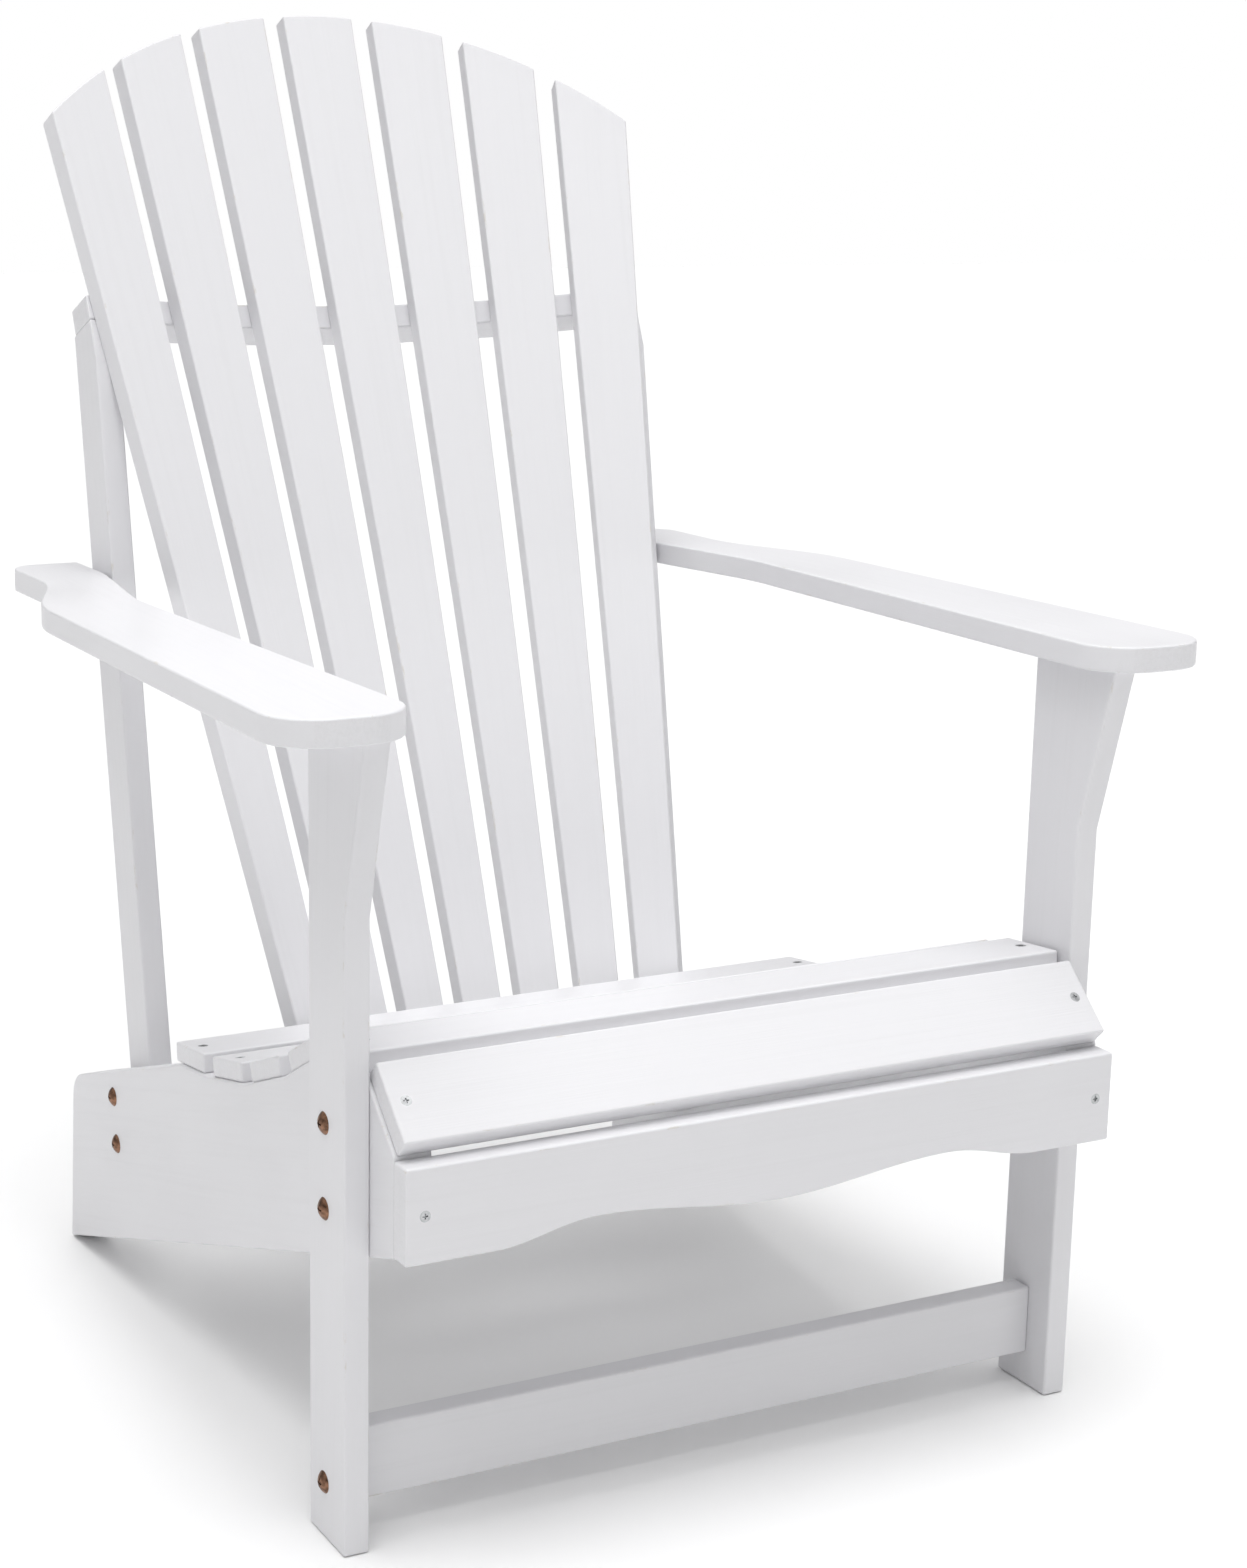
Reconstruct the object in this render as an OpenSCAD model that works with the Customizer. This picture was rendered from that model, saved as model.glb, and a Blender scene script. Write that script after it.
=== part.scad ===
// Adirondack chair, painted wood: fanned back, scooped seat and sloping side rails.
// Millimetres, +Z up, the front of the chair faces -Y, the ground is z = 0.
// "left" is the -X side and "right" the +X side, as seen from the front.

/* [Frame] */
// Width over the outer faces of the front legs
frame_w = 610; // [520:1:700]
// Thickness of the legs, arms, apron and stretcher
board_t = 19; // [15:0.5:24]
// Thickness of the side rails
rail_t = 28; // [24:1:36]
// Width of the board that the side rails are cut from
rail_w = 140; // [124:1:160]
// Angle of the side rails to the ground, in degrees
rail_slope = 18.8; // [16:0.1:20]
// From the front of the legs to where the side rails touch the ground
rail_foot_y = 629; // [580:1:690]
// Forward lean of the rear end of the side rails, in degrees
rail_end_lean = 5; // [0:0.5:10]
// Radius of the upper rear corner of the side rails
rail_corner_r = 28; // [10:1:40]

/* [Front legs] */
// Width of a front leg at the foot
leg_w = 58; // [50:1:80]
// How far the top of a front leg flares forward
leg_flare = 31.5; // [10:0.5:45]
// Height of the flared part of a front leg
leg_flare_h = 125; // [80:1:180]

/* [Arms] */
// Height of the top of the arms
arm_z = 592; // [540:1:650]
// Length of an arm
arm_len = 703; // [670:1:740]
// Overhang of an arm in front of the leg
arm_front = 46; // [38:1:54]
// Width of an arm at the front
arm_front_w = 100; // [90:1:120]
// Width of an arm just before its neck
arm_rear_w = 79; // [70:1:90]
// Width of the neck that meets the rear post
arm_neck_w = 61; // [45:1:66]
// Overhang of an arm inside the leg
arm_inset = 18; // [10:1:30]
// Radius of the front corners of an arm
arm_corner_r = 38; // [20:1:44]

/* [Seat] */
// Height of the crest of the side rails
crest_z = 339.5; // [310:0.5:360]
// From the front of the legs back to the crest
crest_y = 9; // [4:0.5:16]
// Width of a seat slat
seat_slat_w = 59; // [50:0.5:62]
// Thickness of the seat slats
seat_slat_t = 15.5; // [12:0.5:20]
// Gap between seat slats
seat_gap = 20; // [8:0.5:24]
// Width of the sloping front slat
front_slat_w = 61.5; // [52:0.5:63]
// Thickness of the front slat
front_slat_t = 17; // [14:0.5:20]
// Setback of the seat slats' ends from the outer faces of the side rails
seat_inset = 2.5; // [1:0.5:6]
// Slope of the front slat, in degrees
front_slope = 43.5; // [38:0.5:45]

/* [Apron and stretcher] */
// Height of the apron
apron_h = 67; // [50:1:80]
// Gap between the apron and the front slat
apron_gap = 2.5; // [1:0.5:6]
// Depth of the scallops in the apron's lower edge
scallop = 12; // [4:1:18]
// Height of the stretcher
stretcher_h = 54; // [42:1:70]
// Height of the stretcher's lower edge above the ground
stretcher_z = 27; // [15:1:60]
// Setback of the stretcher from the front of the legs
stretcher_y = 24; // [10:1:28]

/* [Back] */
// Recline of the back slats from upright, in degrees
recline = 22.8; // [18:0.2:26]
// From the front of the legs to the middle slat, at seat height
back_y = 404; // [396:1:420]
// Angle between neighbouring back slats, seen from above, in degrees
fan_step = 5.17; // [4.9:0.01:5.3]
// Radius of the curved back at seat height
fan_r = 598; // [570:1:630]
// Length of the middle back slat above seat height
back_rise = 862.5; // [740:0.5:920]
// Length of the back slats below seat height
back_drop = 66; // [62:1:74]
// Width of a back slat at its foot
back_foot_w = 34; // [26:0.5:38]
// Width of a back slat at its top
back_top_w = 65.5; // [50:0.5:68]
// Thickness of the back slats
back_t = 18.5; // [15:0.5:20]
// Radius of the arc that the tops of the back slats follow
crown_r = 386; // [350:1:440]

/* [Back rails and posts] */
// Thickness of the upper and lower back rails
back_rail_t = 21; // [16:0.5:24]
// Depth of the upper and lower back rails
back_rail_d = 45; // [40:1:56]
// Height of the upper back rail along the middle slat, above seat height
upper_rail_rise = 582; // [540:1:620]
// Distance of the lower back rail below seat height, along the middle slat
lower_rail_drop = 58; // [56:1:62]
// Thickness of the rear posts
post_t = 20; // [16:1:26]
// Width of the rear posts
post_w = 50; // [40:1:56]
// Lean of the rear posts from upright, in degrees
post_lean = 9.9; // [9:0.1:11]
// From the front of the legs to the middle of the rear posts, at the ground
post_foot_y = 491; // [484:1:498]
// Height of the lower end of the rear posts
post_foot_z = 80; // [60:1:90]

/* [Fasteners] */
// Diameter of the bolts
bolt_d = 6; // [5:0.5:8]
// Diameter of the domed bolt heads
bolt_head_d = 16; // [13:0.5:20]
// Height of the domed bolt heads
bolt_head_h = 4; // [3:0.5:5]
// Diameter of the wood screws
screw_d = 4; // [3:0.5:5]
// Diameter of the countersunk screw heads
screw_head_d = 8; // [7:0.5:9]
// Diameter of the dowels
dowel_d = 8; // [6:1:10]

/* [Hidden] */

$fn = 48;
paint = "white";
copper = "peru";
steel = "silver";
beech = "burlywood";

// slopes of the seat slats on rails as drawn, from the crest to the rear, in degrees
seat_slopes = [5, 28.8, 21.6, 12.8, 7.4];
crest_lead = 0.6;        // from the crest to the slats on either side of it
slat_half_steps = 3;     // back slats on each side of the middle one
corner_steps = 8;        // facets in a rounded corner
hole_clear = 0.4;        // a hole's diameter over its fastener's
bolt_spare = 3;          // bolt end beyond its nut
washer_t = 1.5;
washer_d = 14;
nut_t = 5;
nut_d = 11.5;            // across the corners
recess_t = 1.2;          // cross recess in bolt and screw heads
barrel_nut_d = 10;
barrel_nut_h = 14;
stretcher_bolt_len = 62;
barrel_nut_reach = 50;   // from the head's seat to the barrel nut
seat_screw_len = 42;
apron_screw_len = 50;
rail_screw_len = 50;
rail_screw_bite = 12;    // how far the back's screws enter a slat
counterbore_d = 9.5;
arm_screw_len = 50;
dowel_len = 40;
dowel_in_arm = 12;
dowel_in_rail = 14;
cutter = 900;            // larger than any board

rail_x = frame_w / 2 - board_t;          // outer face of the side rails
post_x = rail_x - rail_t;                // outer face of the rear posts
arm_under = arm_z - board_t;             // underside of the arms
rail_front_y = -36;                      // front end of the side rails
apron_y = rail_front_y - board_t;        // front face of the apron
crest = [crest_y, crest_z];
front_slat_foot = crest - (crest_lead + front_slat_w) * [cos(front_slope), sin(front_slope)];
apron_top = front_slat_foot[1] - apron_gap;
seat_z = 254.2;                          // seat height, where the back's sizes are measured
fan_y = back_y - fan_r;                  // upright axis that the back slats fan about

// the object's own middle, front to back
rear_edge = back_y + back_rise * sin(recline) + back_t * cos(recline);
front_edge = min(apron_y, -arm_front);
mid_y = (rear_edge + front_edge) / 2;

module in_frame() translate([0, -mid_y, 0]) children();
module both_sides() { children(); mirror([1, 0, 0]) children(); }

function unit(v) = v / norm(v);

// points of an arc that rounds the corner at b between a and c
function corner(a, b, c, r) =
    let (u = unit(a - b), v = unit(c - b), half = acos(u * v) / 2,
         mid = b + unit(u + v) * r / sin(half),
         p = b + u * r / tan(half) - mid, q = b + v * r / tan(half) - mid,
         from = atan2(p[1], p[0]), turn = atan2(q[1], q[0]) - from,
         sweep = turn > 180 ? turn - 360 : turn < -180 ? turn + 360 : turn)
    r == 0 ? [b] :
    [for (k = [0 : corner_steps]) mid + r * [cos(from + sweep * k / corner_steps),
                                              sin(from + sweep * k / corner_steps)]];

// an outline with every corner rounded to its own radius; corners are [x, y, radius]
function rounded(list) =
    let (n = len(list), xy = [for (p = list) [p[0], p[1]]])
    [for (k = [0 : n - 1]) each corner(xy[(k + n - 1) % n], xy[k], xy[(k + 1) % n], list[k][2])];

// a flat board whose outline is drawn in the y-z plane, from x0 inward by t
module side_board(x0, t) translate([x0, 0, 0]) rotate([90, 0, 90]) mirror([0, 0, 1])
    linear_extrude(t) children();

// ---- seat line: where the seat slats lie on the side rails ----

function facet_len(k) = (k == 0 ? crest_lead : seat_gap / 2) + seat_slat_w + seat_gap / 2;
function seat_joint(k) =
    k == 0 ? crest
           : seat_joint(k - 1) + facet_len(k - 1) * [cos(slope(k - 1)), -sin(slope(k - 1))];

// where the rearmost seat facet runs into the upper edge of the side rail
rail_rise = rail_w / cos(rail_slope);
last = len(seat_slopes) - 1;
seat_rear_lift = 4.73;    // rear end of the seat line above the upper edge of the side rail
function along(k) = k < 0 ? [0, 0]
    : along(k - 1) + facet_len(k) * [cos(seat_slopes[k]), sin(seat_slopes[k])];
// common turn of the seat slats, so that the seat line ends at the side rail
seat_tilt = atan((crest_z - rail_top(crest_y + along(last)[0]) - seat_rear_lift) / along(last)[0])
            - atan(along(last)[1] / along(last)[0]);
function slope(k) = seat_slopes[k] + seat_tilt;
last_joint = seat_joint(last);
seat_end_y = (last_joint[1] + last_joint[0] * tan(slope(last)) - rail_rise
              - rail_foot_y * tan(rail_slope)) / (tan(slope(last)) - tan(rail_slope));
function rail_bottom(y) = (rail_foot_y - y) * tan(rail_slope);
function rail_top(y) = rail_bottom(y) + rail_rise;
rail_end_z = rail_rise / (1 - tan(rail_end_lean) * tan(rail_slope));
rail_end_y = rail_foot_y - rail_end_z * tan(rail_end_lean);

// ---- places of the fasteners; each points +Z into the wood from the head's seat ----

leg_bolt_y = 32.5;
leg_bolt_z = [for (up = [37.43, 97.93]) rail_bottom(leg_bolt_y) + up];
post_bolt_z = [for (up = [79.52, 118.52]) rail_bottom(post_foot_y) + up];
post_bolt_forward = 9;                   // ahead of the middle of the post
stretcher_bolt_z = stretcher_z + 14;
stretcher_dowel_z = stretcher_z + stretcher_h - 14;
function post_y(z) = post_foot_y + z * tan(post_lean);

module leg_bolt_places() for (z = leg_bolt_z)
    translate([frame_w / 2, leg_bolt_y, z]) rotate([0, -90, 0]) children();

module post_bolt_places() for (z = post_bolt_z)
    translate([rail_x, post_y(z) - post_bolt_forward, z]) rotate([0, -90, 0]) children();

module stretcher_bolt_place()
    translate([frame_w / 2, stretcher_y + board_t / 2, stretcher_bolt_z]) rotate([0, -90, 0]) children();

module stretcher_dowel_place()
    translate([rail_x + dowel_in_arm, stretcher_y + board_t / 2, stretcher_dowel_z])
        rotate([0, -90, 0]) children();

// on top of each end of seat slat k
module seat_screw_place(k)
    translate([rail_x - rail_t / 2, seat_joint(k)[0], seat_joint(k)[1]]) rotate([-slope(k), 0, 0])
        translate([0, facet_len(k) - seat_gap / 2 - seat_slat_w / 2, seat_slat_t])
            mirror([0, 0, 1]) children();

module front_screw_place()
    translate([rail_x - rail_t / 2, crest_y, crest_z]) rotate([front_slope, 0, 0])
        translate([0, -crest_lead - front_slat_w / 2, front_slat_t]) mirror([0, 0, 1]) children();

module apron_screw_place()
    translate([rail_x - rail_t / 2, apron_y, apron_top - apron_h / 2]) rotate([-90, 0, 0]) children();

// into the inner face of a rear post and on into the neck of the arm
module arm_screw_places() for (s = [-1, 1])
    translate([post_x - post_t, post_y(arm_z - board_t / 2) + s * post_w / 5, arm_z - board_t / 2])
        rotate([0, 90, 0]) children();

module arm_dowel_places() for (s = [-1, 1])
    translate([frame_w / 2 - board_t / 2, (leg_w - leg_flare) / 2 + s * leg_w / 2, arm_under + dowel_in_arm])
        mirror([0, 0, 1]) children();

// ---- back: frame of a slat, x across, y to the rear, z up along the slat ----

module slat_frame(i)
    translate([0, fan_y, seat_z]) rotate([0, 0, -i * fan_step]) translate([0, fan_r, 0])
        rotate([-recline, 0, 0]) children();

// how far up slat i a back rail crosses it, when its middle is at height h on the middle slat
function crossing(i, h) =
    let (c = cos(i * fan_step), s = sin(recline), k = cos(recline))
    (h + (fan_r * s + back_t * s * k) * (1 - c)) / (s * s * c + k * k);

upper_rail_mid = upper_rail_rise + back_rail_t / 2;
lower_rail_mid = -lower_rail_drop + back_rail_t / 2;

// from the rear edge of a back rail, through it and into slat i
module back_screw_place(i, h)
    slat_frame(i) translate([0, back_t - rail_screw_bite + rail_screw_len, crossing(i, h)])
        rotate([90, 0, 0]) children();

post_top_y = post_y((upper_rail_rise + seat_z * cos(recline) + (back_y - post_foot_y) * sin(recline))
                    / (cos(recline) + tan(post_lean) * sin(recline)));

module upper_rail_dowel_place()
    slat_frame(0) translate([post_x - post_t / 2,
                             (post_top_y - back_y - upper_rail_rise * sin(recline)) / cos(recline),
                             upper_rail_rise + dowel_in_rail]) mirror([0, 0, 1]) children();

// curve of the slats' back faces, seen square to the middle slat at height h on it
function back_curve_r(h) = (fan_r + h * sin(recline)) / cos(recline) + back_t;
function sag(r, x) = r - sqrt(r * r - x * x);
function back_rail_rear(h, x) = back_t + back_rail_d - sag(back_curve_r(h) + back_rail_d, x);

module lower_rail_dowel_places() for (f = [0.3, 0.7])
    slat_frame(0) translate([post_x + dowel_in_rail,
                             back_rail_rear(lower_rail_mid, post_x) - f * back_rail_d,
                             lower_rail_mid])
        rotate([0, -90, 0]) children();

// ---- fasteners ----

module head_recess(w, depth) for (a = [0, 90])
    rotate([0, 0, a]) translate([-w / 2, -recess_t / 2, 0]) cube([w, recess_t, depth]);

module bolt(length) {
    dome_r = (bolt_head_d * bolt_head_d / 4 + bolt_head_h * bolt_head_h) / (2 * bolt_head_h);
    difference() {
        intersection() {
            translate([0, 0, dome_r - bolt_head_h]) sphere(r = dome_r);
            translate([0, 0, -bolt_head_h]) cylinder(d = bolt_head_d, h = bolt_head_h);
        }
        translate([0, 0, -bolt_head_h]) head_recess(bolt_head_d * 0.4, bolt_head_h * 0.5);
    }
    cylinder(d = bolt_d, h = length);
}

module screw(length) {
    cone_h = (screw_head_d - screw_d) / 2;
    tip_h = screw_d;
    difference() {
        union() {
            cylinder(d1 = screw_head_d, d2 = screw_d, h = cone_h);
            translate([0, 0, cone_h]) cylinder(d = screw_d, h = length - tip_h - cone_h);
            translate([0, 0, length - tip_h]) cylinder(d1 = screw_d, d2 = 1, h = tip_h);
        }
        head_recess(screw_head_d * 0.5, cone_h * 0.6);
    }
}

module screw_hole(length) {
    cone_h = (screw_head_d - screw_d) / 2;
    cylinder(d1 = screw_head_d, d2 = screw_d, h = cone_h);
    cylinder(d = screw_d + hole_clear, h = length + 1);
}

module bolt_hole() translate([0, 0, -1]) cylinder(d = bolt_d + hole_clear, h = cutter / 2);
module dowel() cylinder(d = dowel_d, h = dowel_len);
module dowel_hole() translate([0, 0, -1]) cylinder(d = dowel_d + hole_clear, h = dowel_len + 2);
module washer() difference() {
    cylinder(d = washer_d, h = washer_t);
    translate([0, 0, -1]) cylinder(d = bolt_d + hole_clear, h = washer_t + 2);
}
module hex_nut() difference() {
    cylinder(d = nut_d, h = nut_t, $fn = 6);
    translate([0, 0, -1]) cylinder(d = bolt_d + hole_clear, h = nut_t + 2);
}

leg_grip = board_t + rail_t;
post_grip = rail_t + post_t;

// ---- boards ----

// outline of a front leg, with its front edge flaring out below the arm
module leg_outline() polygon([
    [0, 0], [leg_w, 0], [leg_w, arm_under], [-leg_flare, arm_under], [0, arm_under - leg_flare_h]]);

module front_leg() difference() {
    side_board(frame_w / 2, board_t) leg_outline();
    leg_bolt_places() bolt_hole();
    stretcher_bolt_place() bolt_hole();
    stretcher_dowel_place() dowel_hole();
    arm_dowel_places() dowel_hole();
}

// outline of a side rail: sloping board, ground corner at the rear, seat line on top
module rail_outline() polygon(concat(
    [[rail_foot_y, 0]],
    corner([rail_foot_y, 0], [rail_end_y, rail_end_z], [seat_end_y, rail_top(seat_end_y)], rail_corner_r),
    [[seat_end_y, rail_top(seat_end_y)]],
    [for (k = [last : -1 : 0]) seat_joint(k)],
    [[rail_front_y, crest_z - (crest_y - rail_front_y) * tan(front_slope)],
     [rail_front_y, rail_bottom(rail_front_y)]]));

module side_rail() difference() {
    side_board(rail_x, rail_t) rail_outline();
    leg_bolt_places() bolt_hole();
    post_bolt_places() bolt_hole();
    front_screw_place() screw_hole(seat_screw_len);
    for (k = [0 : last]) seat_screw_place(k) screw_hole(seat_screw_len);
    apron_screw_place() screw_hole(apron_screw_len);
    lower_rail_dowel_places() dowel_hole();
}

module rear_post() difference() {
    translate([0, post_foot_y, 0]) rotate([-post_lean, 0, 0])
        translate([post_x - post_t, -post_w / 2, post_foot_z]) cube([post_t, post_w, cutter]);
    slat_frame(0) translate([-cutter / 2, -cutter / 2, upper_rail_rise]) cube(cutter);
    in_front_of_slats();
    post_bolt_places() bolt_hole();
    arm_screw_places() screw_hole(arm_screw_len);
    upper_rail_dowel_place() dowel_hole();
}

// outline of an arm from above: broad front, S-curves on both edges, narrow neck
arm_in = rail_x - arm_inset;
arm_rear_in = rail_x - 5;                // inner edge just before the neck
arm_end_y = arm_len - arm_front;
shoulder_y = post_y(arm_z) - 147.3;                        // where the S-curves start
neck_out_y = post_y(arm_z) - 45.3;                        // where they reach the neck, outside and inside
neck_in_y = post_y(arm_z) - 8.3;
module arm_outline() polygon(rounded([
    [arm_in, -arm_front, arm_corner_r],
    [arm_in + arm_front_w, -arm_front, arm_corner_r],
    [arm_rear_in + arm_rear_w, shoulder_y, 150],
    [post_x + arm_neck_w, neck_out_y, 150],
    [post_x + arm_neck_w, arm_end_y, 22],
    [post_x, arm_end_y, 0],
    [post_x, neck_in_y, 200],
    [arm_rear_in, shoulder_y, 200]]));

module arm() difference() {
    translate([0, 0, arm_under]) linear_extrude(board_t) arm_outline();
    arm_screw_places() screw_hole(arm_screw_len);
    arm_dowel_places() dowel_hole();
}

// lower edge of the apron: full depth at the ends and in the middle, scallops between
scallop_peak = 0.5;                      // share of the half length
scallop_end = 0.775;
function scallop_at(f) =
    f >= scallop_end ? 0 :
    f <= scallop_peak ? scallop * (1 - cos(180 * f / scallop_peak)) / 2
                      : scallop * (1 + cos(180 * (f - scallop_peak) / (scallop_end - scallop_peak))) / 2;
scallop_steps = 48;
module apron_outline() polygon(concat(
    [[rail_x, 0], [rail_x, apron_h], [-rail_x, apron_h], [-rail_x, 0]],
    [for (k = [-scallop_steps + 1 : scallop_steps - 1])
        [rail_x * scallop_end * k / scallop_steps, scallop_at(abs(scallop_end * k / scallop_steps))]]));

module apron() difference() {
    translate([0, apron_y + board_t, apron_top - apron_h]) rotate([90, 0, 0])
        linear_extrude(board_t) apron_outline();
    both_sides() apron_screw_place() screw_hole(apron_screw_len);
}

module stretcher() difference() {
    translate([-rail_x, stretcher_y, stretcher_z]) cube([2 * rail_x, board_t, stretcher_h]);
    both_sides() {
        stretcher_bolt_place() translate([0, 0, -1])
            cylinder(d = bolt_d + hole_clear, h = stretcher_bolt_len + 2);
        stretcher_dowel_place() dowel_hole();
        stretcher_bolt_place() translate([0, 0, barrel_nut_reach]) rotate([-90, 0, 0])
            translate([0, 0, -barrel_nut_h / 2])
                cylinder(d = barrel_nut_d + hole_clear, h = cutter / 2);
    }
}

module seat_slat(k) difference() {
    translate([0, seat_joint(k)[0], seat_joint(k)[1]]) rotate([-slope(k), 0, 0])
        translate([-rail_x + seat_inset, facet_len(k) - seat_gap / 2 - seat_slat_w, 0])
            cube([2 * (rail_x - seat_inset), seat_slat_w, seat_slat_t]);
    both_sides() seat_screw_place(k) screw_hole(seat_screw_len);
}

module front_slat() difference() {
    translate([0, crest_y, crest_z]) rotate([front_slope, 0, 0])
        translate([-rail_x + seat_inset, -crest_lead - front_slat_w, 0])
            cube([2 * (rail_x - seat_inset), front_slat_w, front_slat_t]);
    both_sides() front_screw_place() screw_hole(seat_screw_len);
}

// a tapered back slat whose top follows one arc across the whole back
module back_slat(i) difference() {
    intersection() {
        slat_frame(i) rotate([90, 0, 0]) mirror([0, 0, 1]) linear_extrude(back_t) polygon([
            [-back_foot_w / 2, -back_drop], [back_foot_w / 2, -back_drop],
            [back_top_w / 2, back_rise], [-back_top_w / 2, back_rise]]);
        slat_frame(0) translate([0, -cutter / 4, back_rise - crown_r]) rotate([-90, 0, 0])
            union() {
                cylinder(r = crown_r, h = cutter / 2, $fn = 96);
                translate([-crown_r, 0, 0]) cube([2 * crown_r, cutter, cutter / 2]);
            }
    }
    back_screw_place(i, upper_rail_mid) screw_hole(rail_screw_len);
    back_screw_place(i, lower_rail_mid) screw_hole(rail_screw_len);
}

// the space in front of the back faces of all the slats
module in_front_of_slats() intersection_for (i = [-slat_half_steps : slat_half_steps])
    slat_frame(i) translate([-cutter, back_t - cutter, -cutter]) cube([2 * cutter, cutter, 2 * cutter]);

// a curved back rail, square to the middle slat, its lower face at height h on that slat
back_rail_steps = 18;
module back_rail(h, end_r) difference() {
    slat_frame(0) translate([0, 0, h]) linear_extrude(back_rail_t) polygon(rounded(concat(
        [[-post_x, back_rail_rear(h, post_x) - 2 * back_rail_d, 0],
         [post_x, back_rail_rear(h, post_x) - 2 * back_rail_d, 0],
         [post_x, back_rail_rear(h, post_x), end_r]],
        [for (k = [back_rail_steps / 2 - 1 : -1 : 1 - back_rail_steps / 2])
            [2 * post_x * k / back_rail_steps, back_rail_rear(h, 2 * post_x * k / back_rail_steps), 0]],
        [[-post_x, back_rail_rear(h, post_x), end_r]])));
    in_front_of_slats();
    for (i = [-slat_half_steps : slat_half_steps])
        back_screw_place(i, h + back_rail_t / 2) {
            screw_hole(rail_screw_len);
            mirror([0, 0, 1]) cylinder(d = counterbore_d, h = back_rail_d);
        }
}

module upper_rail() difference() {
    back_rail(upper_rail_rise, 12);
    both_sides() upper_rail_dowel_place() dowel_hole();
}

module lower_rail() difference() {
    back_rail(-lower_rail_drop, 0);
    both_sides() lower_rail_dowel_places() dowel_hole();
}

// ---- sub-parts ----

module back_slat_node(i) color(paint) in_frame() back_slat(i);
module seat_slat_node(k) color(paint) in_frame() seat_slat(k);
module upper_back_rail() color(paint) in_frame() upper_rail();
module lower_back_rail() color(paint) in_frame() lower_rail();
module right_rear_post() color(paint) in_frame() rear_post();
module left_rear_post() color(paint) in_frame() mirror([1, 0, 0]) rear_post();
module right_arm() color(paint) in_frame() arm();
module left_arm() color(paint) in_frame() mirror([1, 0, 0]) arm();
module right_front_leg() color(paint) in_frame() front_leg();
module left_front_leg() color(paint) in_frame() mirror([1, 0, 0]) front_leg();
module right_side_rail() color(paint) in_frame() side_rail();
module left_side_rail() color(paint) in_frame() mirror([1, 0, 0]) side_rail();
module front_apron() color(paint) in_frame() apron();
module front_stretcher() color(paint) in_frame() stretcher();
module front_seat_slat() color(paint) in_frame() front_slat();

module leg_bolts() color(copper) in_frame() both_sides()
    leg_bolt_places() bolt(leg_grip + washer_t + nut_t + bolt_spare);

module post_bolts() color(copper) in_frame() both_sides()
    post_bolt_places() bolt(post_grip + washer_t + nut_t + bolt_spare);

module stretcher_bolts() color(copper) in_frame() both_sides()
    stretcher_bolt_place() bolt(stretcher_bolt_len);

module washers() color(steel) in_frame() both_sides() {
    leg_bolt_places() translate([0, 0, leg_grip]) washer();
    post_bolt_places() translate([0, 0, post_grip]) washer();
}

module hex_nuts() color(steel) in_frame() both_sides() {
    leg_bolt_places() translate([0, 0, leg_grip + washer_t]) hex_nut();
    post_bolt_places() translate([0, 0, post_grip + washer_t]) hex_nut();
}

module barrel_nuts() color(steel) in_frame() both_sides()
    stretcher_bolt_place() translate([0, 0, barrel_nut_reach]) difference() {
        rotate([-90, 0, 0]) translate([0, 0, -barrel_nut_h / 2]) cylinder(d = barrel_nut_d, h = barrel_nut_h);
        translate([0, 0, -cutter / 2]) cylinder(d = bolt_d + hole_clear, h = cutter);
    }

module seat_screws() color(steel) in_frame() both_sides() {
    front_screw_place() screw(seat_screw_len);
    for (k = [0 : last]) seat_screw_place(k) screw(seat_screw_len);
}

module apron_screws() color(steel) in_frame() both_sides() apron_screw_place() screw(apron_screw_len);

module slat_top_screws() color(steel) in_frame() for (i = [-slat_half_steps : slat_half_steps])
    back_screw_place(i, upper_rail_mid) screw(rail_screw_len);

module slat_foot_screws() color(steel) in_frame() for (i = [-slat_half_steps : slat_half_steps])
    back_screw_place(i, lower_rail_mid) screw(rail_screw_len);

module arm_screws() color(steel) in_frame() both_sides() arm_screw_places() screw(arm_screw_len);
module arm_dowels() color(beech) in_frame() both_sides() arm_dowel_places() dowel();
module upper_rail_dowels() color(beech) in_frame() both_sides() upper_rail_dowel_place() dowel();
module lower_rail_dowels() color(beech) in_frame() both_sides() lower_rail_dowel_places() dowel();
module stretcher_dowels() color(beech) in_frame() both_sides() stretcher_dowel_place() dowel();

back_slat_node(-3);  // back_slat_1
back_slat_node(-2);  // back_slat_2
back_slat_node(-1);  // back_slat_3
back_slat_node(0);  // back_slat_4
back_slat_node(1);  // back_slat_5
back_slat_node(2);  // back_slat_6
back_slat_node(3);  // back_slat_7
upper_back_rail();
lower_back_rail();
left_rear_post();
right_rear_post();
left_arm();
right_arm();
left_front_leg();
right_front_leg();
left_side_rail();
right_side_rail();
front_apron();
front_stretcher();
front_seat_slat();
seat_slat_node(0);  // seat_slat_1
seat_slat_node(1);  // seat_slat_2
seat_slat_node(2);  // seat_slat_3
seat_slat_node(3);  // seat_slat_4
seat_slat_node(4);  // seat_slat_5
leg_bolts();
post_bolts();
stretcher_bolts();
washers();
hex_nuts();
barrel_nuts();
seat_screws();
apron_screws();
slat_top_screws();
slat_foot_screws();
arm_screws();
arm_dowels();
upper_rail_dowels();
lower_rail_dowels();
stretcher_dowels();
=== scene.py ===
"""White painted adirondack chair: eased and painted boards, plated fasteners, stage, light and camera."""

import math
import random

import bmesh
import bpy
import numpy as np
from mathutils import Matrix, Vector


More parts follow.
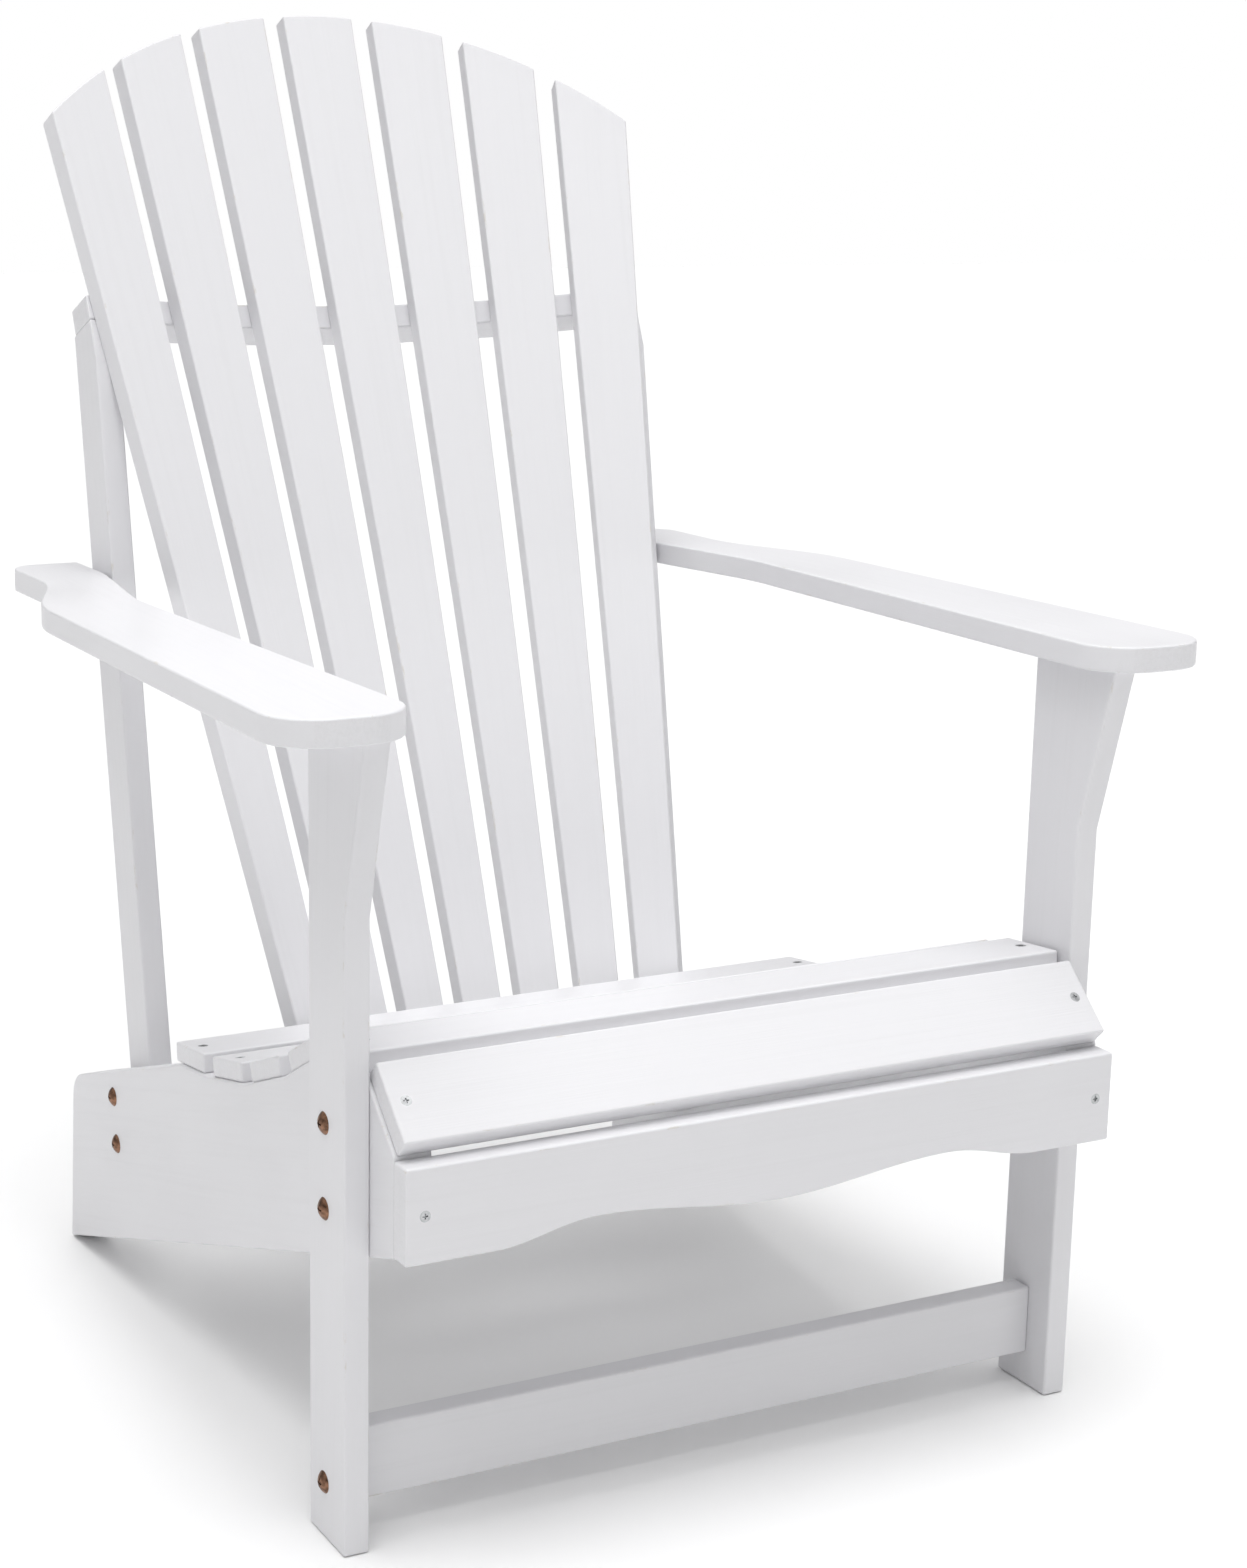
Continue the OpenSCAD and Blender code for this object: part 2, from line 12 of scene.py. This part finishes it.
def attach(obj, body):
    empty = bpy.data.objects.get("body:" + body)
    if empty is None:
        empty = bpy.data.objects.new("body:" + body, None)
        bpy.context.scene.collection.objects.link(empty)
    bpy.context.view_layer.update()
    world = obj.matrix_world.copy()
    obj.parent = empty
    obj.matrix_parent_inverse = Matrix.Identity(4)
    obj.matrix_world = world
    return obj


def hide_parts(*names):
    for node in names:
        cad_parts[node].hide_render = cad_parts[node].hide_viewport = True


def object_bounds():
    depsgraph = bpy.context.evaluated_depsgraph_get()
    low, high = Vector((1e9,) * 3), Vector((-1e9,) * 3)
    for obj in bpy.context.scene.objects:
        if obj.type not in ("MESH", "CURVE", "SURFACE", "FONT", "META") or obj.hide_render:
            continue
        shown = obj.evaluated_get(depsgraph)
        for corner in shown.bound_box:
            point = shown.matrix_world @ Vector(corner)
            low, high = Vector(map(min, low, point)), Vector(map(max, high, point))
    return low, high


bl_info = {
    "name": "Painted adirondack chair",
    "version": (1, 0, 0),
    "blender": (4, 5, 0),
    "location": "3D View > Sidebar > Chair",
    "description": "Builds the boards, fasteners and finishes of a painted wooden garden chair",
    "category": "Object",
}

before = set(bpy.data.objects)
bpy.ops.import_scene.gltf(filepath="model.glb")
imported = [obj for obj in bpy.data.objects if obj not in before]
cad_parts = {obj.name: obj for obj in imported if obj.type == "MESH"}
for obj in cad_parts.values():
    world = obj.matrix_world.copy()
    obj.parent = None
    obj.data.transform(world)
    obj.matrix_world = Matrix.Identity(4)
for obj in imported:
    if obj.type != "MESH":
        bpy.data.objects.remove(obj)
CAD_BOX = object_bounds()

WALL_TOP = 0.10      # upward part of a direction where the walls' light ends
CEILING_EDGE = 0.60  # and where the ceiling's light is full

BODY = "root"
BACK_SLATS = [f"back_slat_{n}" for n in range(1, 8)]
SEAT_SLATS = ["front_seat_slat"] + [f"seat_slat_{n}" for n in range(1, 6)]
BACK_RAILS = ["upper_back_rail", "lower_back_rail"]
POSTS = ["left_rear_post", "right_rear_post"]
ARMS = ["left_arm", "right_arm"]
LEGS = ["left_front_leg", "right_front_leg"]
SIDE_RAILS = ["left_side_rail", "right_side_rail"]
CROSS_BOARDS = ["front_apron", "front_stretcher"]
COPPER_HARDWARE = ["leg_bolts", "post_bolts", "stretcher_bolts"]
PLAIN_HARDWARE = ["seat_screws", "apron_screws", "washers", "hex_nuts", "barrel_nuts",
                  "slat_top_screws", "slat_foot_screws", "arm_screws"]
DOWELS = ["arm_dowels", "upper_rail_dowels", "lower_rail_dowels", "stretcher_dowels"]


# ---- settings ----


class BoardSettings(bpy.types.PropertyGroup):
    """How the boards are shaped by the router and sander."""

    ease: bpy.props.FloatProperty(
        name="Eased edge", description="Width that the boards' long edges are rounded by",
        default=0.0018, min=0.0002, max=0.004, subtype="DISTANCE", unit="LENGTH")
    ease_steps: bpy.props.IntProperty(
        name="Edge steps", description="Facets across an eased edge", default=4, min=1, max=8)
    sharp_angle: bpy.props.FloatProperty(
        name="Edge angle", description="Smallest corner that counts as an edge",
        default=math.radians(25), subtype="ANGLE")
    hole_size: bpy.props.FloatProperty(
        name="Largest hole", description="Edges of holes up to this size stay crisp",
        default=0.02, subtype="DISTANCE", unit="LENGTH")


class PaintSettings(bpy.types.PropertyGroup):
    """The white paint and what shows through it."""

    colour: bpy.props.FloatVectorProperty(
        name="Paint", description="Colour of the paint", subtype="COLOR", size=3,
        default=(0.755, 0.752, 0.772), min=0, max=1)
    shade: bpy.props.FloatVectorProperty(
        name="Thin paint", description="Colour where the paint lies thin over the grain", subtype="COLOR",
        size=3, default=(0.70, 0.697, 0.712), min=0, max=1)
    primer: bpy.props.FloatVectorProperty(
        name="Worn edge", description="Colour where an edge is rubbed", subtype="COLOR", size=3,
        default=(0.62, 0.58, 0.52), min=0, max=1)
    roughness: bpy.props.FloatProperty(
        name="Roughness", description="Roughness of the dry paint", default=0.42, min=0, max=1)
    grain: bpy.props.FloatProperty(
        name="Grain relief", description="Height of the grain under the paint",
        default=0.00018, min=0, max=0.002, subtype="DISTANCE", unit="LENGTH")
    brush: bpy.props.FloatProperty(
        name="Brush relief", description="Height of the brush marks",
        default=0.00012, min=0, max=0.001, subtype="DISTANCE", unit="LENGTH")


class MetalSettings(bpy.types.PropertyGroup):
    """Plating of the bolts, screws, washers and nuts, and the dowels' wood."""

    copper: bpy.props.FloatVectorProperty(
        name="Copper plating", description="Colour of the bolts", subtype="COLOR",
        size=3, default=(0.30, 0.165, 0.105), min=0, max=1)
    tarnish: bpy.props.FloatVectorProperty(
        name="Tarnish", description="Colour of the plating's darker patches", subtype="COLOR",
        size=3, default=(0.045, 0.028, 0.020), min=0, max=1)
    zinc: bpy.props.FloatVectorProperty(
        name="Zinc plating", description="Colour of the screws, washers and nuts", subtype="COLOR",
        size=3, default=(0.58, 0.59, 0.60), min=0, max=1)
    copper_roughness: bpy.props.FloatProperty(
        name="Copper roughness", description="Roughness of the copper plating", default=0.34, min=0, max=1)
    zinc_roughness: bpy.props.FloatProperty(
        name="Zinc roughness", description="Roughness of the zinc plating", default=0.38, min=0, max=1)
    beech: bpy.props.FloatVectorProperty(
        name="Beech", description="Colour of the dowels", subtype="COLOR",
        size=3, default=(0.52, 0.34, 0.19), min=0, max=1)


class StageSettings(bpy.types.PropertyGroup):
    """Floor, light and camera."""

    floor_size: bpy.props.FloatProperty(
        name="Floor", description="Side of the floor", default=40.0, subtype="DISTANCE", unit="LENGTH")
    floor_colour: bpy.props.FloatVectorProperty(
        name="Floor colour", description="Colour of the floor", subtype="COLOR", size=3,
        default=(0.90, 0.90, 0.90), min=0, max=1)
    backdrop: bpy.props.FloatProperty(
        name="Backdrop", description="Brightness of the white backdrop", default=1.0, min=0)
    walls: bpy.props.FloatProperty(
        name="Walls", description="Strength of the even light from the sides", default=0.08, min=0)
    ceiling: bpy.props.FloatProperty(
        name="Ceiling", description="Strength of the even light from above", default=0.78, min=0)
    key: bpy.props.FloatProperty(
        name="Key light", description="Strength of the broad soft light", default=1.6, min=0)
    key_angle: bpy.props.FloatProperty(
        name="Key softness", description="How broad the soft light looks from the chair",
        default=math.radians(50), subtype="ANGLE")
    key_from: bpy.props.FloatVectorProperty(
        name="Key direction", description="Where the soft light comes from", subtype="XYZ", size=3,
        default=(-0.08, -0.10, 1.0))
    softbox: bpy.props.FloatProperty(
        name="Softbox", description="Power of the softbox over the back, in watts", default=7.0, min=0)
    softbox_size: bpy.props.FloatProperty(
        name="Softbox size", description="Side of the softbox", default=1.2, subtype="DISTANCE",
        unit="LENGTH")
    softbox_place: bpy.props.FloatVectorProperty(
        name="Softbox place", description="Where the softbox hangs", subtype="TRANSLATION", size=3,
        unit="LENGTH", default=(-0.35, -0.75, 2.2))
    lens: bpy.props.FloatProperty(
        name="Lens", description="Focal length in millimetres", default=63.38, min=10, max=300)
    place: bpy.props.FloatVectorProperty(
        name="Camera place", description="Where the camera stands", subtype="TRANSLATION", size=3,
        unit="LENGTH", default=(-1.0048, -1.9144, 0.9267))
    heading: bpy.props.FloatProperty(
        name="Heading", description="Direction of view from +Y towards +X", default=math.radians(26.361),
        subtype="ANGLE")
    pitch: bpy.props.FloatProperty(
        name="Pitch", description="Direction of view above the horizon", default=math.radians(-12.740),
        subtype="ANGLE")
    roll: bpy.props.FloatProperty(
        name="Roll", description="Turn of the camera about its view", default=math.radians(0.479),
        subtype="ANGLE")
    shift: bpy.props.FloatProperty(
        name="Shift", description="Sideways shift of the picture, as a share of its long side",
        default=0.1107)


# ---- node helpers ----


class Finish:
    """A material's node tree, built from left to right."""

    def __init__(self, name):
        self.material = bpy.data.materials.new(name)
        self.material.use_nodes = True
        self.tree = self.material.node_tree
        self.shader = self.tree.nodes["Principled BSDF"]
        self.column = -1400

    def node(self, kind, **values):
        made = self.tree.nodes.new(kind)
        made.location = (self.column, random.Random(len(self.tree.nodes)).randint(-500, 500))
        self.column += 60
        for key, value in values.items():
            setattr(made, key, value)
        return made

    def link(self, out, into):
        self.tree.links.new(out, into)

    def attribute(self, name):
        return self.node("ShaderNodeAttribute", attribute_name=name)

    def stretched(self, source, scale):
        """A coordinate stretched by its own scale on each axis."""
        made = self.node("ShaderNodeMapping")
        made.inputs["Scale"].default_value = scale
        self.link(source, made.inputs["Vector"])
        return made.outputs["Vector"]

    def noise(self, source, detail, rough=0.55, distortion=0.0):
        made = self.node("ShaderNodeTexNoise", noise_dimensions="3D")
        made.inputs["Scale"].default_value = 1.0
        made.inputs["Detail"].default_value = detail
        made.inputs["Roughness"].default_value = rough
        made.inputs["Distortion"].default_value = distortion
        self.link(source, made.inputs["Vector"])
        return made.outputs["Fac"]

    def remap(self, source, low, high, to_low, to_high):
        made = self.node("ShaderNodeMapRange")
        made.inputs["From Min"].default_value = low
        made.inputs["From Max"].default_value = high
        made.inputs["To Min"].default_value = to_low
        made.inputs["To Max"].default_value = to_high
        self.link(source, made.inputs["Value"])
        return made.outputs["Result"]

    def maths(self, operation, first, second):
        made = self.node("ShaderNodeMath", operation=operation)
        for socket, value in zip(made.inputs, (first, second)):
            if isinstance(value, (int, float)):
                socket.default_value = value
            else:
                self.link(value, socket)
        return made.outputs["Value"]

    def blend(self, amount, first, second):
        """Colour that runs from the first to the second; each is a colour or a socket."""
        made = self.node("ShaderNodeMix", data_type="RGBA")
        self.link(amount, made.inputs["Factor"])
        for name, value in (("A", first), ("B", second)):
            socket = [s for s in made.inputs if s.name == name and s.type == "RGBA"][0]
            if hasattr(value, "is_output"):
                self.link(value, socket)
            else:
                socket.default_value = (*value, 1.0)
        return [s for s in made.outputs if s.type == "RGBA"][0]

    def bump(self, height, distance, under=None):
        made = self.node("ShaderNodeBump")
        made.inputs["Strength"].default_value = 1.0
        made.inputs["Distance"].default_value = distance
        self.link(height, made.inputs["Height"])
        if under is not None:
            self.link(under, made.inputs["Normal"])
        return made.outputs["Normal"]


def painted_wood():
    """White brushed paint over a board whose grain still shows a little."""
    made = bpy.data.materials.get("white_paint_finish")
    if made:
        return made
    paint = bpy.context.scene.chair_paint
    f = Finish("white_paint_finish")
    along = f.attribute("grain").outputs["Vector"]
    eased = f.attribute("eased").outputs["Fac"]
    end = f.attribute("end_grain").outputs["Fac"]

    grain = f.noise(f.stretched(along, (5.0, 170.0, 60.0)), 5.0, 0.6, 0.35)
    brush = f.noise(f.stretched(along, (9.0, 900.0, 900.0)), 3.0, 0.65)
    cloud = f.noise(f.stretched(along, (7.0, 9.0, 9.0)), 3.0, 0.5)
    chips = f.noise(f.stretched(along, (34.0, 120.0, 120.0)), 5.0, 0.7)
    pores = f.noise(f.stretched(along, (420.0, 420.0, 420.0)), 2.0, 0.6)

    thin = f.remap(grain, 0.50, 0.72, 0.0, 0.22)
    base = f.blend(thin, paint.colour, paint.shade)
    base = f.blend(f.remap(cloud, 0.35, 0.75, 0.0, 0.12), base, paint.shade)
    rubbed = f.maths("MULTIPLY", eased, f.remap(chips, 0.60, 0.68, 0.0, 0.55))
    base = f.blend(rubbed, base, paint.primer)
    base = f.blend(f.maths("MULTIPLY", end, f.remap(pores, 0.40, 0.65, 0.0, 0.35)), base, paint.shade)
    f.link(base, f.shader.inputs["Base Color"])

    rough = f.remap(cloud, 0.3, 0.7, paint.roughness - 0.06, paint.roughness + 0.08)
    rough = f.maths("ADD", rough, f.remap(grain, 0.4, 0.7, 0.0, 0.06))
    rough = f.maths("ADD", rough, f.maths("MULTIPLY", rubbed, 0.25))
    f.link(rough, f.shader.inputs["Roughness"])

    relief = f.bump(grain, paint.grain)
    relief = f.bump(brush, paint.brush, relief)
    relief = f.bump(f.maths("MULTIPLY", end, pores), 0.0004, relief)
    f.link(relief, f.shader.inputs["Normal"])
    f.shader.inputs["Specular IOR Level"].default_value = 0.45
    f.shader.inputs["Coat Weight"].default_value = 0.12
    f.shader.inputs["Coat Roughness"].default_value = 0.28
    return f.material


def plated_metal(name, colour, dark, roughness):
    """Plated steel with tumbled scratches and darker patches."""
    made = bpy.data.materials.get(name)
    if made:
        return made
    f = Finish(name)
    place = f.node("ShaderNodeTexCoord").outputs["Object"]
    patches = f.noise(f.stretched(place, (260.0, 260.0, 260.0)), 4.0, 0.6)
    scratches = f.noise(f.stretched(place, (900.0, 2600.0, 2600.0)), 3.0, 0.7)
    f.link(f.blend(f.remap(patches, 0.42, 0.70, 0.0, 0.8), colour, dark), f.shader.inputs["Base Color"])
    f.link(f.remap(scratches, 0.3, 0.7, roughness - 0.08, roughness + 0.14), f.shader.inputs["Roughness"])
    f.link(f.bump(scratches, 0.00006), f.shader.inputs["Normal"])
    f.shader.inputs["Metallic"].default_value = 1.0
    return f.material


def bare_beech():
    """Bare beech with short dark flecks."""
    made = bpy.data.materials.get("beech_finish")
    if made:
        return made
    colour = bpy.context.scene.chair_metal.beech
    f = Finish("beech_finish")
    place = f.node("ShaderNodeTexCoord").outputs["Object"]
    flecks = f.noise(f.stretched(place, (500.0, 500.0, 90.0)), 4.0, 0.65)
    dark = tuple(0.6 * c for c in colour)
    f.link(f.blend(f.remap(flecks, 0.5, 0.7, 0.0, 1.0), colour, dark), f.shader.inputs["Base Color"])
    f.link(f.remap(flecks, 0.3, 0.7, 0.55, 0.75), f.shader.inputs["Roughness"])
    f.link(f.bump(flecks, 0.0001), f.shader.inputs["Normal"])
    return f.material


# ---- board making ----


def edge_groups(mesh_edges):
    """Connected groups of edges."""
    left = set(mesh_edges)
    groups = []
    while left:
        start = left.pop()
        group, front = [start], [start]
        while front:
            edge = front.pop()
            for vert in edge.verts:
                for near in vert.link_edges:
                    if near in left:
                        left.remove(near)
                        group.append(near)
                        front.append(near)
        groups.append(group)
    return groups


def extent(edges):
    """Longest side of the box round some edges."""
    points = np.array([v.co for e in edges for v in e.verts])
    return float((points.max(0) - points.min(0)).max())


def board_axes(points):
    """Directions along, across and through a board, longest first."""
    centre = points.mean(0)
    values, vectors = np.linalg.eigh(np.cov((points - centre).T))
    axes = vectors[:, np.argsort(values)[::-1]].T
    for axis in axes:
        if axis[np.argmax(np.abs(axis))] < 0:
            axis *= -1
    return centre, axes


def eased_board(node, serial):
    """The board at a frame node with its outer edges rounded, its holes crisp, and its grain laid out."""
    settings = bpy.context.scene.chair_boards
    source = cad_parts[node]
    bm = bmesh.new()
    bm.from_mesh(source.data)
    bm.transform(source.matrix_world)
    eased_layer = bm.faces.layers.float.new("eased")
    end_layer = bm.faces.layers.float.new("end_grain")
    grain_layer = bm.verts.layers.float_vector.new("grain")
    bmesh.ops.remove_doubles(bm, verts=bm.verts, dist=1e-5)
    bmesh.ops.dissolve_limit(bm, angle_limit=math.radians(0.6), verts=bm.verts, edges=bm.edges)
    sharp = [e for e in bm.edges if len(e.link_faces) == 2 and e.calc_face_angle() > settings.sharp_angle]
    outer = [e for g in edge_groups(sharp) if extent(g) > settings.hole_size for e in g]
    if not outer:
        raise RuntimeError(f"{node} has no outer edges to ease")
    rounded = bmesh.ops.bevel(
        bm, geom=outer, offset=settings.ease, offset_type="OFFSET", segments=settings.ease_steps,
        profile=0.5, affect="EDGES", clamp_overlap=False)

    points = np.array([v.co for v in bm.verts])
    centre, axes = board_axes(points)
    for face in rounded["faces"]:
        face[eased_layer] = 1.0
    for face in bm.faces:
        face.smooth = True
        face[end_layer] = 1.0 if abs(np.dot(face.normal, axes[0])) > 0.9 else 0.0
    for vert in bm.verts:
        vert[grain_layer] = Vector(axes @ (np.array(vert.co) - centre) + 1.7 * serial)
    mesh = bpy.data.meshes.new(f"{node}_board")
    bm.to_mesh(mesh)
    bm.free()
    mesh.set_sharp_from_angle(angle=math.radians(34))

    board = bpy.data.objects.new(f"{node}_board", mesh)
    bpy.context.scene.collection.objects.link(board)
    steady = board.modifiers.new("flat_faces", "WEIGHTED_NORMAL")
    steady.mode = "FACE_AREA"
    steady.weight = 100
    steady.keep_sharp = True
    mesh.materials.append(painted_wood())
    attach(board, BODY)
    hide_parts(node)
    return board


def make_boards(nodes, first_serial):
    for n, node in enumerate(nodes):
        eased_board(node, first_serial + n)


def refinish(nodes, material):
    """Gives frame nodes that keep their shape a new material."""
    for node in nodes:
        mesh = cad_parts[node].data
        mesh.materials.clear()
        mesh.materials.append(material)


# ---- one operator for each group of pieces ----


class BoardOperator:
    """Shared by the operators that make boards."""

    bl_options = {"REGISTER", "UNDO"}
    nodes = []
    serial = 0

    def execute(self, context):
        make_boards(self.nodes, self.serial)
        return {"FINISHED"}


class CHAIR_OT_back_slats(BoardOperator, bpy.types.Operator):
    """Seven tapered back slats with arched tops"""

    bl_idname = "chair.back_slats"
    bl_label = "Back slats"
    nodes = BACK_SLATS
    serial = 1


class CHAIR_OT_back_rails(BoardOperator, bpy.types.Operator):
    """Curved rails behind the back slats"""

    bl_idname = "chair.back_rails"
    bl_label = "Back rails"
    nodes = BACK_RAILS
    serial = 11


class CHAIR_OT_rear_posts(BoardOperator, bpy.types.Operator):
    """Posts that carry the arms and the upper back rail"""

    bl_idname = "chair.rear_posts"
    bl_label = "Rear posts"
    nodes = POSTS
    serial = 21


class CHAIR_OT_arms(BoardOperator, bpy.types.Operator):
    """Broad flat arms"""

    bl_idname = "chair.arms"
    bl_label = "Arms"
    nodes = ARMS
    serial = 31


class CHAIR_OT_front_legs(BoardOperator, bpy.types.Operator):
    """Front legs with flared tops"""

    bl_idname = "chair.front_legs"
    bl_label = "Front legs"
    nodes = LEGS
    serial = 41


class CHAIR_OT_side_rails(BoardOperator, bpy.types.Operator):
    """Sloping side rails that reach the ground at the rear"""

    bl_idname = "chair.side_rails"
    bl_label = "Side rails"
    nodes = SIDE_RAILS
    serial = 51


class CHAIR_OT_cross_boards(BoardOperator, bpy.types.Operator):
    """Scalloped apron and low stretcher"""

    bl_idname = "chair.cross_boards"
    bl_label = "Apron and stretcher"
    nodes = CROSS_BOARDS
    serial = 61


class CHAIR_OT_seat_slats(BoardOperator, bpy.types.Operator):
    """Slats of the scooped seat"""

    bl_idname = "chair.seat_slats"
    bl_label = "Seat slats"
    nodes = SEAT_SLATS
    serial = 71


class CHAIR_OT_hardware(bpy.types.Operator):
    """Plating of the bolts, screws, washers and nuts"""

    bl_idname = "chair.hardware"
    bl_label = "Bolts and screws"
    bl_options = {"REGISTER", "UNDO"}

    def execute(self, context):
        metal = context.scene.chair_metal
        refinish(COPPER_HARDWARE, plated_metal(
            "copper_plating", metal.copper, metal.tarnish, metal.copper_roughness))
        dull = tuple(0.6 * c for c in metal.zinc)
        refinish(PLAIN_HARDWARE, plated_metal("zinc_plating", metal.zinc, dull, metal.zinc_roughness))
        return {"FINISHED"}


class CHAIR_OT_dowels(bpy.types.Operator):
    """Bare beech dowels"""

    bl_idname = "chair.dowels"
    bl_label = "Dowels"
    bl_options = {"REGISTER", "UNDO"}

    def execute(self, context):
        refinish(DOWELS, bare_beech())
        return {"FINISHED"}


class CHAIR_OT_stage(bpy.types.Operator):
    """Pale floor, soft light and the camera"""

    bl_idname = "chair.stage"
    bl_label = "Stage"
    bl_options = {"REGISTER", "UNDO"}

    def execute(self, context):
        stage = context.scene.chair_stage
        self.floor(stage)
        self.lights(context, stage)
        self.camera(context, stage)
        return {"FINISHED"}

    def floor(self, stage):
        half = stage.floor_size / 2
        mesh = bpy.data.meshes.new("floor")
        mesh.from_pydata(
            [(-half, -half, 0), (half, -half, 0), (half, half, 0), (-half, half, 0)], [], [(0, 1, 2, 3)])
        f = Finish("floor_finish")
        place = f.node("ShaderNodeTexCoord").outputs["Object"]
        dust = f.noise(f.stretched(place, (60.0, 60.0, 60.0)), 3.0)
        f.shader.inputs["Base Color"].default_value = (*stage.floor_colour, 1.0)
        f.link(f.remap(dust, 0.3, 0.7, 0.85, 0.95), f.shader.inputs["Roughness"])
        f.shader.inputs["Specular IOR Level"].default_value = 0.1
        mesh.materials.append(f.material)
        floor = bpy.data.objects.new("floor", mesh)
        bpy.context.scene.collection.objects.link(floor)
        floor.location.z = CAD_BOX[0].z - 0.0005

    def lights(self, context, stage):
        """White backdrop, even light from the walls and ceiling, a broad light and a softbox."""
        world = bpy.data.worlds.new("studio")
        context.scene.world = world
        world.use_nodes = True
        nodes, links = world.node_tree.nodes, world.node_tree.links
        direction = nodes.new("ShaderNodeTexCoord")
        parts = nodes.new("ShaderNodeSeparateXYZ")
        fade = nodes.new("ShaderNodeMapRange")
        fade.interpolation_type = "SMOOTHSTEP"
        fade.inputs["From Min"].default_value = WALL_TOP
        fade.inputs["From Max"].default_value = CEILING_EDGE
        fade.inputs["To Min"].default_value = stage.walls
        fade.inputs["To Max"].default_value = stage.ceiling
        seen = nodes.new("ShaderNodeLightPath")
        choice = nodes.new("ShaderNodeMix")
        choice.inputs["B"].default_value = stage.backdrop
        links.new(direction.outputs["Generated"], parts.inputs["Vector"])
        links.new(parts.outputs["Z"], fade.inputs["Value"])
        links.new(seen.outputs["Is Camera Ray"], choice.inputs["Factor"])
        links.new(fade.outputs["Result"], choice.inputs["A"])
        links.new(choice.outputs["Result"], nodes["Background"].inputs["Strength"])
        nodes["Background"].inputs["Color"].default_value = (1.0, 1.0, 1.0, 1.0)
        sun = bpy.data.lights.new("key_light", "SUN")
        sun.energy = stage.key
        sun.angle = stage.key_angle
        self.hang(context, sun, Vector(stage.key_from).normalized() * 3, Vector())
        box = bpy.data.lights.new("softbox", "AREA")
        box.energy = stage.softbox
        box.size = stage.softbox_size
        self.hang(context, box, Vector(stage.softbox_place), (CAD_BOX[0] + CAD_BOX[1]) / 2)
        context.scene.view_settings.view_transform = "Standard"

    def hang(self, context, light, place, target):
        lamp = bpy.data.objects.new(light.name, light)
        lamp.location = place
        lamp.rotation_euler = (place - target).to_track_quat("Z", "Y").to_euler()
        context.scene.collection.objects.link(lamp)

    def camera(self, context, stage):
        heading, pitch, roll = stage.heading, stage.pitch, stage.roll
        forward = Vector((math.sin(heading) * math.cos(pitch), math.cos(heading) * math.cos(pitch),
                          math.sin(pitch)))
        level = Vector((math.cos(heading), -math.sin(heading), 0.0))
        upright = level.cross(forward)
        right = level * math.cos(roll) + upright * math.sin(roll)
        up = upright * math.cos(roll) - level * math.sin(roll)
        data = bpy.data.cameras.new("camera")
        data.lens = stage.lens
        data.sensor_width = 36.0
        data.sensor_fit = "AUTO"
        data.shift_x = stage.shift
        camera = bpy.data.objects.new("camera", data)
        turn = Matrix((right, up, -forward)).transposed().to_4x4()
        camera.matrix_world = Matrix.Translation(stage.place) @ turn
        context.scene.collection.objects.link(camera)
        context.scene.camera = camera


OPERATORS = (
    CHAIR_OT_back_slats, CHAIR_OT_back_rails, CHAIR_OT_rear_posts, CHAIR_OT_arms, CHAIR_OT_front_legs,
    CHAIR_OT_side_rails, CHAIR_OT_cross_boards, CHAIR_OT_seat_slats, CHAIR_OT_hardware, CHAIR_OT_dowels,
    CHAIR_OT_stage,
)


class CHAIR_PT_build(bpy.types.Panel):
    """Settings and build steps of the chair"""

    bl_idname = "CHAIR_PT_build"
    bl_label = "Adirondack chair"
    bl_space_type = "VIEW_3D"
    bl_region_type = "UI"
    bl_category = "Chair"

    def draw(self, context):
        for name in SETTINGS:
            box = self.layout.box()
            group = getattr(context.scene, name)
            for key in group.__annotations__:
                box.prop(group, key)
        for operator in OPERATORS:
            self.layout.operator(operator.bl_idname)


SETTINGS = {
    "chair_boards": BoardSettings,
    "chair_paint": PaintSettings,
    "chair_metal": MetalSettings,
    "chair_stage": StageSettings,
}
CLASSES = (*SETTINGS.values(), *OPERATORS, CHAIR_PT_build)


def register():
    for cls in CLASSES:
        bpy.utils.register_class(cls)
    for name, group in SETTINGS.items():
        setattr(bpy.types.Scene, name, bpy.props.PointerProperty(type=group))


def unregister():
    for name in SETTINGS:
        delattr(bpy.types.Scene, name)
    for cls in reversed(CLASSES):
        bpy.utils.unregister_class(cls)


def main():
    register()
    bpy.ops.chair.back_slats()
    bpy.ops.chair.back_rails()
    bpy.ops.chair.rear_posts()
    bpy.ops.chair.arms()
    bpy.ops.chair.front_legs()
    bpy.ops.chair.side_rails()
    bpy.ops.chair.cross_boards()
    bpy.ops.chair.seat_slats()
    bpy.ops.chair.hardware()
    bpy.ops.chair.dowels()
    bpy.ops.chair.stage()


if __name__ == "__main__":
    main()
